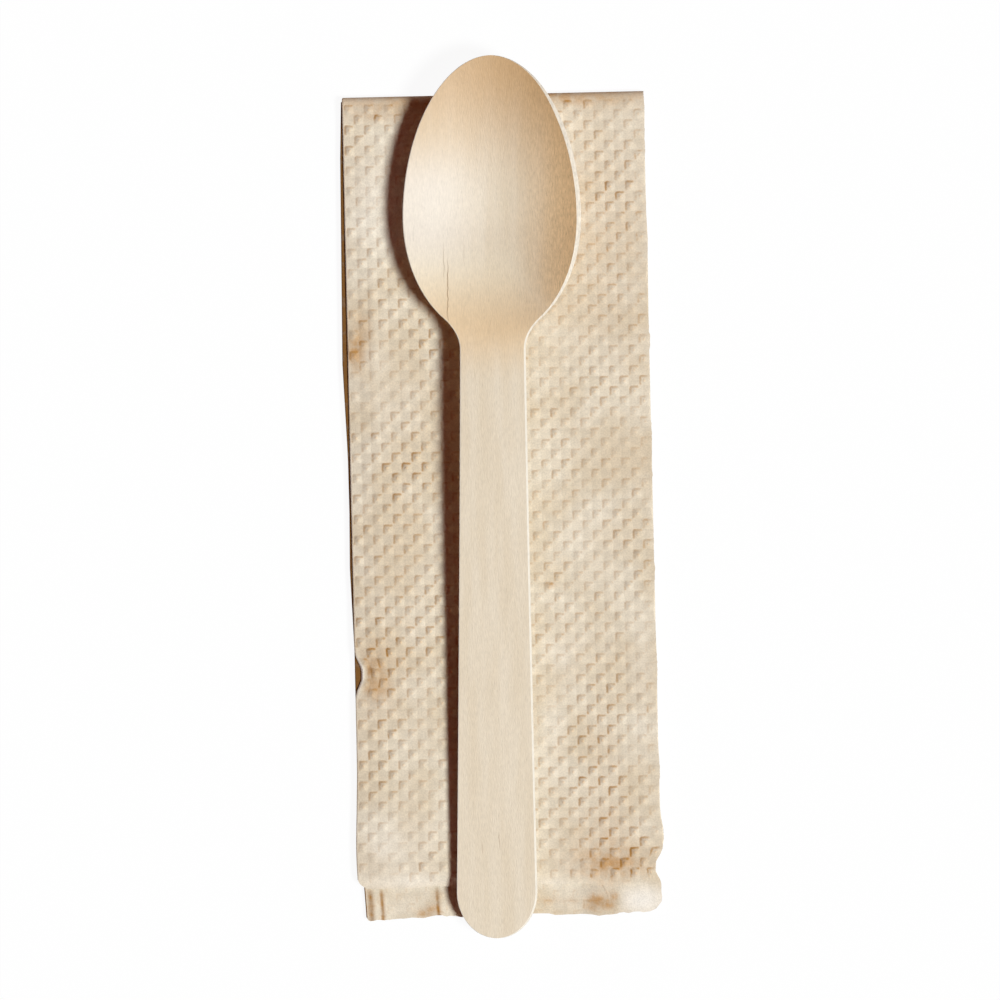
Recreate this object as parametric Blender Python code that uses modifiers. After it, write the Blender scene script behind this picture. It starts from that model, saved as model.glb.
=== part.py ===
# A pressed birch spoon lying on a folded kraft paper napkin.
# Metres, +Z up, +Y towards the tip of the bowl. The ground is z = 0, under the napkin's lowest layer.
import math

import bmesh
import bpy
import numpy as np

# Spoon, measured along its length from the tip of the bowl
SPOON_LENGTH = 0.1600
VENEER_THICKNESS = 0.0016  # straight down: the outline is trimmed upright after pressing
BOWL_WIDTH = 0.0321
BOWL_FRONT = 0.0293  # from the tip to the widest place
BOWL_BACK = 0.0219  # from the widest place to where the round back would close
BOWL_FULLNESS = 1.95  # 2 would make the front an exact ellipse
BOWL_DEPTH = 0.0045
SHOULDER_FLARE = 1.5  # the bowl's back ends where it is this many neck widths wide
SHOULDER_BLEND = 0.0058  # length of the curve from the bowl's back to the handle
NECK_WIDTH = 0.0119
NECK_RISE = 0.0011  # how far the neck arches above the rim of the bowl
NECK_SOFTNESS = 0.25  # share of the handle in which it bends down from the neck
HANDLE_END_WIDTH = 0.0146
HANDLE_TAPER = 1.2  # 1 would be a straight taper
HANDLE_ROUND_END = 0.0084  # length of the rounded end
RIM_ROUNDING = 0.0004
RIM_CORNER = math.radians(50)  # edges that turn more than this are rounded

# Napkin: one sheet folded zigzag into panels and then once across
PANELS = 4
PANEL_WIDTH = 0.0546
UPPER_LENGTH = 0.1420  # from the cross fold's middle to the end of the upper half
LOWER_EXTRA = 0.0055  # how far the lower half shows past the upper half
PAPER_THICKNESS = 0.0002
LAYER_GAP = 0.00015
OVERHANG_AT = (0.0, 0.047, 0.070, 0.098)  # the lower left fold stands out beside the upper one
OVERHANG = (0.00055, 0.0010, 0.00015, 0.0)  # by this much at those distances from the cross fold
LOWER_INSET = 0.0015  # how far the lower half's left edge runs inwards by its open end
CORNER_FLAP_WIDTH = 0.0105  # the long corner of the upper half
CORNER_FLAP_LENGTH = 0.0040
CORNER_ROUNDING = 0.0016  # how far the long corner's outer side is drawn back
CUT_WAVE = 0.00022  # how far the cut side edge waves
TORN_WAVE = 0.00035  # how far the torn ends wave
LONG_WAVE = 0.0195  # lengths of the two waves that make an edge uneven
SHORT_WAVE = 0.0086
SHORT_WAVE_SHARE = 0.6  # height of the short wave beside the long one
NEXT_LAYER = 0.02  # how far along the waves the next layer's edge starts
NOTCH_AT = 0.1036  # the crushed place on the left fold, from the cross fold
NOTCH_SPREAD = 0.0035
NOTCH_DEPTH = 0.0009
NOTCH_REACH = 0.0072  # how far across the panel the crushed place draws the paper
PLEAT_HEIGHT = 0.0003  # the creases that lift the exposed end of the lower half
PLEAT_SPACING = 0.0118

# Embossing on the panel that shows: every other square is raised
EMBOSS_SQUARE = 0.00181  # across the panel
EMBOSS_ROW = 0.00186  # along the panel
EMBOSS_HEIGHT = 0.00014
PLAIN_MARGIN = 0.3  # squares left plain along the cut and torn edges
STRETCH_LIMIT = 0.1  # a square more out of size than this share is left plain
LEVEL = 0.9  # upward part of the normal of a face that lies flat

# How the two lie together
SPOON_PAST_FOLD = 0.0069  # the bowl's tip past the napkin's cross fold
SPOON_TO_LEFT = 0.0014  # the spoon's middle from the napkin's middle, at mid length
SPOON_TURN = math.radians(0.45)
NAPKIN_TURN = math.radians(1.31)
RESTING_GAP = 0.0003  # touching pieces keep this much apart

# How finely the curves are drawn
SPOON_COLUMNS = 12
ROUND_STEPS = 10
NECK_STEPS = 5
HANDLE_STEPS = 6
FOLD_STEPS = 4
CROSS_FOLD_STEPS = 6
HIDDEN_COLUMNS = 4  # across the two panels that stay inside
EXPOSED_COLUMNS = 16  # across the one whose end shows
HIDDEN_ROW = 0.0060

LAYER_PITCH = PAPER_THICKNESS + LAYER_GAP
LAYERS = 2 * PANELS
NAPKIN_TOP = (LAYERS - 1) * LAYER_PITCH + PAPER_THICKNESS + EMBOSS_HEIGHT
LOWER_LENGTH = UPPER_LENGTH + LOWER_EXTRA
CROSS_FOLD_REACH = (PANELS - 0.5) * LAYER_PITCH + PAPER_THICKNESS / 2
BOWL_DEEPEST = BOWL_FRONT
SHOULDER_WIDTH = SHOULDER_FLARE * NECK_WIDTH
SHOULDER = BOWL_FRONT + BOWL_BACK * math.sqrt(1 - (SHOULDER_WIDTH / BOWL_WIDTH) ** 2)
NECK = SHOULDER + SHOULDER_BLEND
HANDLE_END = SPOON_LENGTH - HANDLE_ROUND_END


def clear_scene():
    for item in list(bpy.data.objects):
        bpy.data.objects.remove(item, do_unlink=True)


def make_material(name, colour, roughness):
    material = bpy.data.materials.new(name)
    material.use_nodes = True
    shader = material.node_tree.nodes["Principled BSDF"]
    shader.inputs["Base Color"].default_value = (*colour, 1.0)
    shader.inputs["Roughness"].default_value = roughness
    shader.inputs["Metallic"].default_value = 0.0
    return material


def make_object(name, mesh, material, collection):
    item = bpy.data.objects.new(name, mesh)
    mesh.materials.append(material)
    collection.objects.link(item)
    return item


def grid_mesh(name, columns, rows, place):
    """A grid of columns by rows faces, with each corner moved to place(column, row)."""
    grid = bmesh.new()
    bmesh.ops.create_grid(grid, x_segments=columns, y_segments=rows, size=1.0)
    for vert in grid.verts:
        column = round((vert.co.x + 1) / 2 * columns)
        row = round((vert.co.y + 1) / 2 * rows)
        vert.co = place(column, row)
    mesh = bpy.data.meshes.new(name)
    return grid, mesh


# The spoon


def bowl_back_half(along):
    return BOWL_WIDTH / 2 * math.sqrt(1 - ((along - BOWL_FRONT) / BOWL_BACK) ** 2)


def shoulder_half(along):
    """A curve that leaves the bowl's back and meets the handle without a corner."""
    share = (along - SHOULDER) / SHOULDER_BLEND
    start = SHOULDER_WIDTH / 2
    slope = -((BOWL_WIDTH / 2 / BOWL_BACK) ** 2) * (SHOULDER - BOWL_FRONT) / start
    ease = share * share * (3 - 2 * share)
    lead = share * (1 - share) ** 2
    return start * (1 - ease) + NECK_WIDTH / 2 * ease + slope * SHOULDER_BLEND * lead


def handle_half(along):
    share = (along - NECK) / (HANDLE_END - NECK)
    return (NECK_WIDTH + (HANDLE_END_WIDTH - NECK_WIDTH) * share**HANDLE_TAPER) / 2


def half_width(along):
    """Half the width of the spoon's upper face at a distance from the tip of the bowl."""
    if along <= BOWL_FRONT:
        inward = 1 - along / BOWL_FRONT
        return BOWL_WIDTH / 2 * (1 - inward**BOWL_FULLNESS) ** (1 / BOWL_FULLNESS)
    if along <= SHOULDER:
        return bowl_back_half(along)
    if along <= NECK:
        return shoulder_half(along)
    if along <= HANDLE_END:
        return handle_half(along)
    past = (along - HANDLE_END) / HANDLE_ROUND_END
    return HANDLE_END_WIDTH / 2 * math.sqrt(max(0.0, 1 - past * past))


def spine(along):
    """Height of the rim and of the handle's upper face over the rim at the bowl's widest place."""
    if along <= BOWL_FRONT:
        return 0.0
    if along <= NECK:
        share = (along - BOWL_FRONT) / (NECK - BOWL_FRONT)
        return NECK_RISE * share * share * (3 - 2 * share)
    share = (along - NECK) / (SPOON_LENGTH - NECK)
    drop = math.hypot(share, NECK_SOFTNESS) - NECK_SOFTNESS
    drop /= math.hypot(1, NECK_SOFTNESS) - NECK_SOFTNESS
    return NECK_RISE - (NECK_RISE + BOWL_DEPTH) * drop


def hollow(along, across):
    """How deep the bowl is pressed, from 0 at its edge to 1 at its deepest."""
    if along <= BOWL_DEEPEST:
        share = 1 - (1 - along / BOWL_DEEPEST) ** 2
    elif along < NECK:
        share = (1 - ((along - BOWL_DEEPEST) / (NECK - BOWL_DEEPEST)) ** 2) ** 2
    else:
        share = 0.0
    return share * (1 - across * across)


def spoon_stations():
    """Distances from the tip of the bowl, closer together where the outline turns fast."""
    turn = np.linspace(0, math.pi / 2, ROUND_STEPS + 1)
    front = BOWL_FRONT * (1 - np.cos(turn))
    back = np.linspace(BOWL_FRONT, SHOULDER, ROUND_STEPS + 1)
    neck = np.linspace(SHOULDER, NECK, NECK_STEPS + 1)
    handle = np.linspace(NECK, HANDLE_END, HANDLE_STEPS + 1)
    end = HANDLE_END + HANDLE_ROUND_END * np.sin(turn)
    return [*front, *back[1:], *neck[1:], *handle[1:], *end[1:]]


def make_spoon(collection):
    stations = spoon_stations()
    rows = len(stations) - 1

    def place(column, row):
        along = stations[row]
        across = 2 * column / SPOON_COLUMNS - 1
        height = spine(along) - BOWL_DEPTH * hollow(along, across)
        return (half_width(along) * across, -along, height)

    grid, mesh = grid_mesh("wooden_spoon", SPOON_COLUMNS, rows, place)
    bmesh.ops.remove_doubles(grid, verts=grid.verts, dist=1e-6)
    lower = bmesh.ops.extrude_face_region(grid, geom=grid.faces[:])["geom"]
    corners = [item for item in lower if isinstance(item, bmesh.types.BMVert)]
    bmesh.ops.translate(grid, verts=corners, vec=(0, 0, -VENEER_THICKNESS))
    bmesh.ops.recalc_face_normals(grid, faces=grid.faces)
    grid.to_mesh(mesh)
    grid.free()

    birch = make_material("birch_veneer", (0.77, 0.66, 0.51), 0.62)
    spoon = make_object("wooden_spoon", mesh, birch, collection)
    rounding = spoon.modifiers.new("sanded edge", "BEVEL")
    rounding.width = RIM_ROUNDING
    rounding.segments = 2
    rounding.limit_method = "ANGLE"
    rounding.angle_limit = RIM_CORNER
    return spoon


# The napkin


def fold_radius():
    return LAYER_PITCH / 2


def panel_columns(panel):
    """Distances of a panel's columns from the left fold, left to right."""
    left = fold_radius()
    right = PANEL_WIDTH - (fold_radius() if panel not in (0, PANELS - 1) else 0.0)
    if panel:
        columns = EXPOSED_COLUMNS if panel == PANELS - 1 else HIDDEN_COLUMNS
        return list(np.linspace(left, right, columns + 1))
    squares = int((right - left - CUT_WAVE) / EMBOSS_SQUARE - PLAIN_MARGIN)
    return [*(left + n * EMBOSS_SQUARE for n in range(squares + 1)), right]


def section():
    """The folded sheet's cross-section: (distance from the left, height, panel)."""
    points = []
    for panel in range(PANELS):
        height = (PANELS - 1 - panel) * LAYER_PITCH
        columns = [(x, height, panel) for x in panel_columns(panel)]
        leftwards = panel % 2 == 0
        points += columns[::-1] if leftwards else columns
        if panel == PANELS - 1:
            break
        side = -1 if leftwards else 1
        edge = points[-1][0]
        for step in range(1, FOLD_STEPS):
            turn = math.pi * step / FOLD_STEPS
            x = edge + side * fold_radius() * math.sin(turn)
            z = height - fold_radius() * (1 - math.cos(turn))
            points.append((x, z, panel + turn / math.pi))
    return points


def path():
    """The way the section is swept: (distance from the cross fold, turn round the fold)."""
    squares = int((UPPER_LENGTH - TORN_WAVE) / EMBOSS_ROW - PLAIN_MARGIN)
    upper = [(n * EMBOSS_ROW, 0.0) for n in range(squares, 0, -1)]
    turns = [(0.0, math.pi * n / CROSS_FOLD_STEPS) for n in range(CROSS_FOLD_STEPS + 1)]
    hidden = int(UPPER_LENGTH / HIDDEN_ROW)
    lower = [(UPPER_LENGTH * n / hidden, math.pi) for n in range(1, hidden + 1)]
    return [(UPPER_LENGTH, 0.0), *upper, *turns, *lower, (LOWER_LENGTH, math.pi)]


def smooth_step(share):
    share = min(1.0, max(0.0, share))
    return share * share * (3 - 2 * share)


def ragged(distance, size):
    """A gentle waver along a cut or torn edge."""
    long_wave = math.sin(2 * math.pi * distance / LONG_WAVE)
    short_wave = SHORT_WAVE_SHARE * math.sin(2 * math.pi * distance / SHORT_WAVE + 1)
    return size * (long_wave + short_wave) / (1 + SHORT_WAVE_SHARE)


def side_shift(x, distance, panel, upper):
    """How far a point moves sideways: the waving cut edge, the overhanging fold and the notch."""
    from_left = min(1.0, max(0.0, 1 - x / PANEL_WIDTH))
    moved = 0.0
    if panel in (0, PANELS - 1):
        near_cut = smooth_step(1 - (PANEL_WIDTH - x) / EMBOSS_SQUARE)
        moved += ragged(distance + NEXT_LAYER * panel, CUT_WAVE) * near_cut
    if panel > 1:
        moved -= float(np.interp(distance, OVERHANG_AT, OVERHANG)) * from_left
    if not upper:
        moved += LOWER_INSET * max(0.0, 2 * distance / LOWER_LENGTH - 1) * from_left
    if upper and panel <= 1:
        near = math.exp(-(((distance - NOTCH_AT) / NOTCH_SPREAD) ** 2))
        moved += NOTCH_DEPTH * near * max(0.0, 1 - x / NOTCH_REACH)
    return moved


def end_shift(x, panel, upper):
    """How far a torn end reaches past its usual place."""
    waver = ragged(x + NEXT_LAYER * panel, TORN_WAVE)
    if not upper or panel:
        return waver
    from_right = PANEL_WIDTH - x
    flap = CORNER_FLAP_LENGTH * smooth_step((CORNER_FLAP_WIDTH - from_right) / EMBOSS_SQUARE + 1)
    corner = CORNER_ROUNDING * smooth_step(1 - from_right / EMBOSS_SQUARE)
    return waver + flap - corner


def pleat(x):
    """Lift of the lower half's exposed end, none under the corner flap."""
    clear_of_flap = smooth_step((PANEL_WIDTH - CORNER_FLAP_WIDTH - x) / PLEAT_SPACING)
    return PLEAT_HEIGHT * math.sin(math.pi * x / PLEAT_SPACING) ** 2 * clear_of_flap


def napkin_point(across, along):
    x, stack_height, panel = across
    distance, turn = along
    upper = turn < math.pi / 2
    radius = fold_radius() + stack_height
    x += side_shift(x, distance, panel, upper)
    at_end = distance in (UPPER_LENGTH, LOWER_LENGTH) and (upper or distance == LOWER_LENGTH)
    if at_end:
        distance += end_shift(x, panel, upper)
    z = CROSS_FOLD_REACH + radius * math.cos(turn)
    if at_end and not upper:
        z += pleat(x)
    y = -CROSS_FOLD_REACH - distance + radius * math.sin(turn)
    return (x - PANEL_WIDTH / 2, y, z)


def make_napkin(collection):
    folds, ways = section(), path()
    columns, rows = len(folds) - 1, len(ways) - 1
    grid, mesh = grid_mesh(
        "folded_sheet", columns, rows, lambda column, row: napkin_point(folds[column], ways[row])
    )
    grid.to_mesh(mesh)
    grid.free()

    kraft = make_material("kraft_tissue", (0.72, 0.60, 0.46), 0.9)
    sheet = make_object("folded_sheet", mesh, kraft, collection)
    paper = sheet.modifiers.new("paper", "SOLIDIFY")
    paper.thickness = PAPER_THICKNESS
    paper.offset = 0.0
    solid = bpy.data.meshes.new_from_object(
        sheet.evaluated_get(bpy.context.evaluated_depsgraph_get())
    )
    bpy.data.objects.remove(sheet)
    emboss(solid)
    solid.name = "paper_napkin"
    napkin = bpy.data.objects.new("paper_napkin", solid)
    collection.objects.link(napkin)
    return napkin


def emboss(mesh):
    """Raises every other square of the panel that shows. The sheet's underside stays flat."""
    solid = bmesh.new()
    solid.from_mesh(mesh)
    top = NAPKIN_TOP - EMBOSS_HEIGHT
    left = fold_radius() - PANEL_WIDTH / 2
    raised = []
    for face in solid.faces:
        middle = face.calc_center_median()
        if face.normal.z < LEVEL or middle.z < top - LAYER_GAP:
            continue
        column = math.floor((middle.x - left) / EMBOSS_SQUARE)
        row = math.floor((-CROSS_FOLD_REACH - middle.y) / EMBOSS_ROW)
        whole = abs(face.calc_area() / (EMBOSS_SQUARE * EMBOSS_ROW) - 1) < STRETCH_LIMIT
        if whole and row >= 0 and (column + row) % 2 == 0:
            raised.append(face)
    bmesh.ops.poke(solid, faces=raised, offset=EMBOSS_HEIGHT)
    solid.to_mesh(mesh)
    solid.free()


# The set


def lay_out(spoon, napkin, collection):
    """Puts the spoon on the napkin, and the origin under the middle of the two."""
    base = bpy.data.objects.new("set_origin", None)
    collection.objects.link(base)
    for item in (spoon, napkin):
        item.parent = base
    half = SPOON_LENGTH / 2
    fold = (half - SPOON_PAST_FOLD) / math.cos(NAPKIN_TURN)
    napkin.rotation_euler.z = NAPKIN_TURN
    napkin.location = (-fold * math.sin(NAPKIN_TURN), fold * math.cos(NAPKIN_TURN), 0)
    spoon.rotation_euler.z = SPOON_TURN
    under_bowl = BOWL_DEPTH + VENEER_THICKNESS
    spoon.location = (
        -SPOON_TO_LEFT - half * math.sin(SPOON_TURN),
        half * math.cos(SPOON_TURN),
        NAPKIN_TOP + RESTING_GAP + under_bowl,
    )
    bpy.context.view_layer.update()
    graph = bpy.context.evaluated_depsgraph_get()
    corners = [
        item.matrix_world @ vert.co
        for item in (spoon.evaluated_get(graph), napkin)
        for vert in item.data.vertices
    ]
    for axis in (0, 1):
        values = [corner[axis] for corner in corners]
        base.location[axis] = -(min(values) + max(values)) / 2


def main():
    clear_scene()
    collection = bpy.data.collections.new("wooden_spoon_and_napkin_set")
    bpy.context.scene.collection.children.link(collection)
    napkin = make_napkin(collection)
    spoon = make_spoon(collection)
    lay_out(spoon, napkin, collection)


main()
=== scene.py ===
import math

import bmesh
import bpy
import numpy as np
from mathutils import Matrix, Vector, noise


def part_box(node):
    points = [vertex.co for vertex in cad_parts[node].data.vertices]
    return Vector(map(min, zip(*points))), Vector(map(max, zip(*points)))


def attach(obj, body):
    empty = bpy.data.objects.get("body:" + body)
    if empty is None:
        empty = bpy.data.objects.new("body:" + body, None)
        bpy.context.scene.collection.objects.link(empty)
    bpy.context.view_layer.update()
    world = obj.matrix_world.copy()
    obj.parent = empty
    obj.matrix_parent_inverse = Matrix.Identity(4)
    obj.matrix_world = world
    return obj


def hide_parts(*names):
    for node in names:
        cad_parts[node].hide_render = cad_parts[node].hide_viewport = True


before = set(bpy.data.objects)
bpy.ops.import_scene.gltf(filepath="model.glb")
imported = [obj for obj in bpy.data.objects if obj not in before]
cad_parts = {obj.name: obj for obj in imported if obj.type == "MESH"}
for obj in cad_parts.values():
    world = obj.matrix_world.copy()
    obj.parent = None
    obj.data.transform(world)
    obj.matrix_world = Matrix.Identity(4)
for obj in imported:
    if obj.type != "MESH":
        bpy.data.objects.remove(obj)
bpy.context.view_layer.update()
mm = 0.001


def toLinear(hexColour):
    channels = [int(hexColour[i:i + 2], 16) / 255 for i in (1, 3, 5)]
    linear = [c / 12.92 if c <= 0.04045 else ((c + 0.055) / 1.055) ** 2.4 for c in channels]
    return (*linear, 1.0)


def addNode(tree, kind, settings=None, inputs=None):
    # a node given as an input stands for its first output in use
    node = tree.nodes.new("ShaderNode" + kind)
    for name, value in (settings or {}).items():
        setattr(node, name, value)
    for socket, value in (inputs or {}).items():
        if isinstance(value, bpy.types.Node):
            value = next(output for output in value.outputs if output.enabled)
        if isinstance(value, bpy.types.NodeSocket):
            tree.links.new(value, node.inputs[socket])
        else:
            node.inputs[socket].default_value = value
    return node


def newMaterial(name):
    material = bpy.data.materials.new(name)
    material.use_nodes = True
    tree = material.node_tree
    tree.nodes.clear()
    return material, tree


# settings that many nodes share
times = {"operation": "MULTIPLY"}
plus = {"operation": "ADD"}
minus = {"operation": "SUBTRACT"}
timesPlus = {"operation": "MULTIPLY_ADD"}
larger = {"operation": "MAXIMUM"}
smaller = {"operation": "MINIMUM"}
positive = {"operation": "ABSOLUTE"}
smoothly = {"interpolation_type": "SMOOTHSTEP"}
colours = {"data_type": "RGBA"}


def smoothStep(share):
    share = min(1.0, max(0.0, share))
    return share * share * (3 - 2 * share)


def bell(away, spread, power=2):
    # 1 in the middle, falling off smoothly past the spread; a higher power gives a flatter top
    return math.exp(-(abs(away / spread) ** power))


# Camera, straight above
cameraSetup = {
    "height": 3.0,
    "sharpHeight": 3 * mm,  # the level at which the frame's width holds
    "frameWidth": 0.1814,
    "middle": (-0.00009, -0.00054),
    "sensor": 36.0,
}


def makeCamera(setup):
    data = bpy.data.cameras.new("overheadCamera")
    camera = bpy.data.objects.new("overheadCamera", data)
    bpy.context.scene.collection.objects.link(camera)
    camera.location = (*setup["middle"], setup["height"])
    data.sensor_width = setup["sensor"]
    data.lens = setup["sensor"] * (setup["height"] - setup["sharpHeight"]) / setup["frameWidth"]
    data.clip_start = 0.05
    data.clip_end = 10
    bpy.context.scene.camera = camera


makeCamera(cameraSetup)
print("camera ready")


# The spoon
spoonSizes = {
    "length": 0.1600,
    "veneer": 1.6 * mm,
    "bowlWidth": 0.0323,
    "bowlFront": 0.0293,  # tip to widest place
    "bowlBack": 0.0219,
    "bowlFullness": 1.95,  # 2 would make the front an exact ellipse
    "bowlDepth": 4.5 * mm,
    "shoulderFlare": 1.5,  # the bowl's back ends where it is this many neck widths wide
    "shoulderBlend": 5.8 * mm,  # length of the curve from there to the handle
    "neckWidth": 0.0119,
    "neckRise": 1.1 * mm,  # how far the neck arches above the rim of the bowl
    "neckSoftness": 0.25,  # share of the handle in which it bends down from the neck
    "endWidth": 0.0146,
    "taper": 1.2,  # 1 would be a straight taper
    "roundEnd": 8.4 * mm,
    # width of the worn upper edge: left, bowl's right, handle's right
    "worn": (0.14 * mm, 0.80 * mm, 0.36 * mm),
    "wornDrop": 0.55,  # of its width
    "wornAtTip": 0.35,  # of its width elsewhere
    "wornTipReach": 13 * mm,
    "edgeRounding": 0.30 * mm,
    "edgeSegments": 4,
    "edgeAngle": math.radians(50),  # edges that turn more than this are rounded
    "columns": 56,
    "roundSteps": 36,
    "neckSteps": 22,
    "handleSteps": 50,
    "turn": math.radians(0.45),
    "toLeft": 1.4 * mm,  # the spoon's middle from the napkin's middle
}


def makeSpoonShape(size, isUnder):
    front, back, width = size["bowlFront"], size["bowlBack"], size["bowlWidth"]
    neckWidth, blend = size["neckWidth"], size["shoulderBlend"]
    shoulderWidth = size["shoulderFlare"] * neckWidth
    shoulder = front + back * math.sqrt(1 - (shoulderWidth / width) ** 2)
    neck = shoulder + blend
    handleEnd = size["length"] - size["roundEnd"]

    def halfWidth(along):
        if along <= front:
            inward = 1 - along / front
            fullness = size["bowlFullness"]
            return width / 2 * (1 - inward**fullness) ** (1 / fullness)
        if along <= shoulder:
            return width / 2 * math.sqrt(1 - ((along - front) / back) ** 2)
        if along <= neck:
            share = (along - shoulder) / blend
            slope = -((width / 2 / back) ** 2) * (shoulder - front) / (shoulderWidth / 2)
            ease = smoothStep(share)
            lead = share * (1 - share) ** 2
            return shoulderWidth / 2 * (1 - ease) + neckWidth / 2 * ease + slope * blend * lead
        if along <= handleEnd:
            share = (along - neck) / (handleEnd - neck)
            return (neckWidth + (size["endWidth"] - neckWidth) * share ** size["taper"]) / 2
        past = (along - handleEnd) / size["roundEnd"]
        return size["endWidth"] / 2 * math.sqrt(max(0.0, 1 - past * past))

    def spine(along):
        rise, soft = size["neckRise"], size["neckSoftness"]
        if along <= front:
            return 0.0
        if along <= neck:
            return rise * smoothStep((along - front) / (neck - front))
        share = (along - neck) / (size["length"] - neck)
        drop = (math.hypot(share, soft) - soft) / (math.hypot(1, soft) - soft)
        return rise - (rise + size["bowlDepth"]) * drop

    def hollow(along, across):
        share = 0.0
        if along <= front:
            share = 1 - (1 - along / front) ** 2
        elif along < neck:
            share = (1 - ((along - front) / (neck - front)) ** 2) ** 2
        return share * (1 - across * across)

    turn = np.linspace(0, math.pi / 2, size["roundSteps"] + 1)
    stations = [
        *(front * (1 - np.cos(turn))),
        *np.linspace(front, shoulder, size["roundSteps"] + 1)[1:],
        *np.linspace(shoulder, neck, size["neckSteps"] + 1)[1:],
        *np.linspace(neck, handleEnd, size["handleSteps"] + 1)[1:],
        *(handleEnd + size["roundEnd"] * np.sin(turn))[1:],
    ]
    # columns crowd towards the rim, where the bowl is steepest
    spread = [math.sin(math.pi / 2 * (2 * c / size["columns"] - 1)) for c in range(size["columns"] + 1)]
    points = []
    for along in stations:
        half, height = halfWidth(along), spine(along)
        # the upper edge is worn round, most on the right
        onLeft, inBowl, onHandle = size["worn"]
        onRight = inBowl + (onHandle - inBowl) * smoothStep((along - front) / (neck - front))
        onRight *= size["wornAtTip"] + (1 - size["wornAtTip"]) * smoothStep(along / size["wornTipReach"])
        leftEdge = -half + min(half / 2, onLeft) * (0 if isUnder else 1)
        rightEdge = half - min(half / 2, onRight) * (0 if isUnder else 1)
        line = []
        for across in spread:
            x = (leftEdge + rightEdge) / 2 + (rightEdge - leftEdge) / 2 * across
            z = height - size["bowlDepth"] * hollow(along, across) - (size["veneer"] if isUnder else 0.0)
            line.append((x, -along, z))
        if not isUnder:
            # the foot of the worn edge, which has the full outline, comes after the row's own points; the
            # right one is measured from the left one, so it lies lower by both drops
            leftFoot = line[0][2] - size["wornDrop"] * onLeft
            line.append((-half, -along, leftFoot))
            line.append((half, -along, leftFoot - size["wornDrop"] * onRight))
        points.append(line)
    return points


# Birch veneer, hot pressed and bare: pale cream, smooth and matt, with a short mottled grain along its
# length. It is darker towards the tip and the neck; up the right wall of the bowl, which faces away from the
# lamp, the darker tan is painted shade, and the paler left of the bowl, which faces the lamp, is painted
# light.
birchLook = {
    "pale": "#dfd0ba",
    "cream": "#d9c8af",
    # darker towards the tip
    "tipTan": "#bd9461",
    # painted shade up the right wall of the bowl, and the darker neck
    "shadeAndNeckTan": "#dfbc8e",
    # painted light on the left of the bowl
    "paintedLightPale": "#e2d7ca",
    "lowPale": "#f0e2c8",
    "crack": "#8a6440",
    "edge": "#e4dccf",
    # where it is darker or paler, with painted shade up the right wall and painted light on the left of the
    # bowl:
    # from and to, then the share at each
    "tipAlong": {1: -27 * mm, 2: -1 * mm, 3: 0.0, 4: 0.85},
    "tipAcross": {1: -13 * mm, 2: 5 * mm, 3: 0.85, 4: 1.0},
    "wallAlong": {1: -56 * mm, 2: -42 * mm},
    "wallAcross": {1: 2 * mm, 2: 15 * mm, 3: 0.0, 4: 1.0},
    "neckBelow": {1: -60 * mm, 2: -49 * mm, 3: 0.0, 4: 0.68},
    "neckAbove": {1: -36 * mm, 2: -50 * mm},
    "paintedLightAcross": {1: 4 * mm, 2: -12 * mm, 3: 0.0, 4: 0.95},
    "paintedLightAlong": ({1: -50 * mm, 2: -40 * mm}, {1: -12 * mm, 2: -24 * mm}),
    "lowEndAcross": {1: 11 * mm, 2: 2 * mm, 3: 0.0, 4: 0.8},
    "lowEndAlong": ({1: -54 * mm, 2: -45 * mm}, {1: -31 * mm, 2: -43 * mm}),
    "edgeShare": 0.85,
    "wallContrast": 1.6,  # how much stronger the streaks are on the right wall
    # width, length and detail of the streaks along the grain; real pores are about 0.07 mm wide, and are
    # drawn wider so that they show
    "grain": (0.24 * mm, 1.1 * mm, 2.5),
    "pores": (0.13 * mm, 0.7 * mm, 1.5),
    "flecks": (0.30 * mm, 2.4 * mm, 2.0),
    "figure": (3.2 * mm, 30 * mm, 2.0),
    "mottle": 0.9 * mm,
    "relief": 0.05 * mm,
    "roughness": 0.56,
    "crackWander": (2.5 * mm, 0.45 * mm),  # how long its bends are and how far it wanders
    # where each hairline crack or fleck lies: middle across, start and end from the tip, width, how dark
    "cracks": (
        (-8.8 * mm, 33.4 * mm, 41.6 * mm, 0.10 * mm, 0.55),
        (-8.1 * mm, 35.2 * mm, 50.0 * mm, 0.13 * mm, 0.9),
        (-5.1 * mm, 33.0 * mm, 39.0 * mm, 0.08 * mm, 0.25),
        (0.5 * mm, 140.4 * mm, 144.0 * mm, 0.16 * mm, 0.4),
        (-2.7 * mm, 142.2 * mm, 145.0 * mm, 0.12 * mm, 0.35),
        (2.2 * mm, 96.0 * mm, 99.5 * mm, 0.10 * mm, 0.2),
    ),
}


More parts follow.
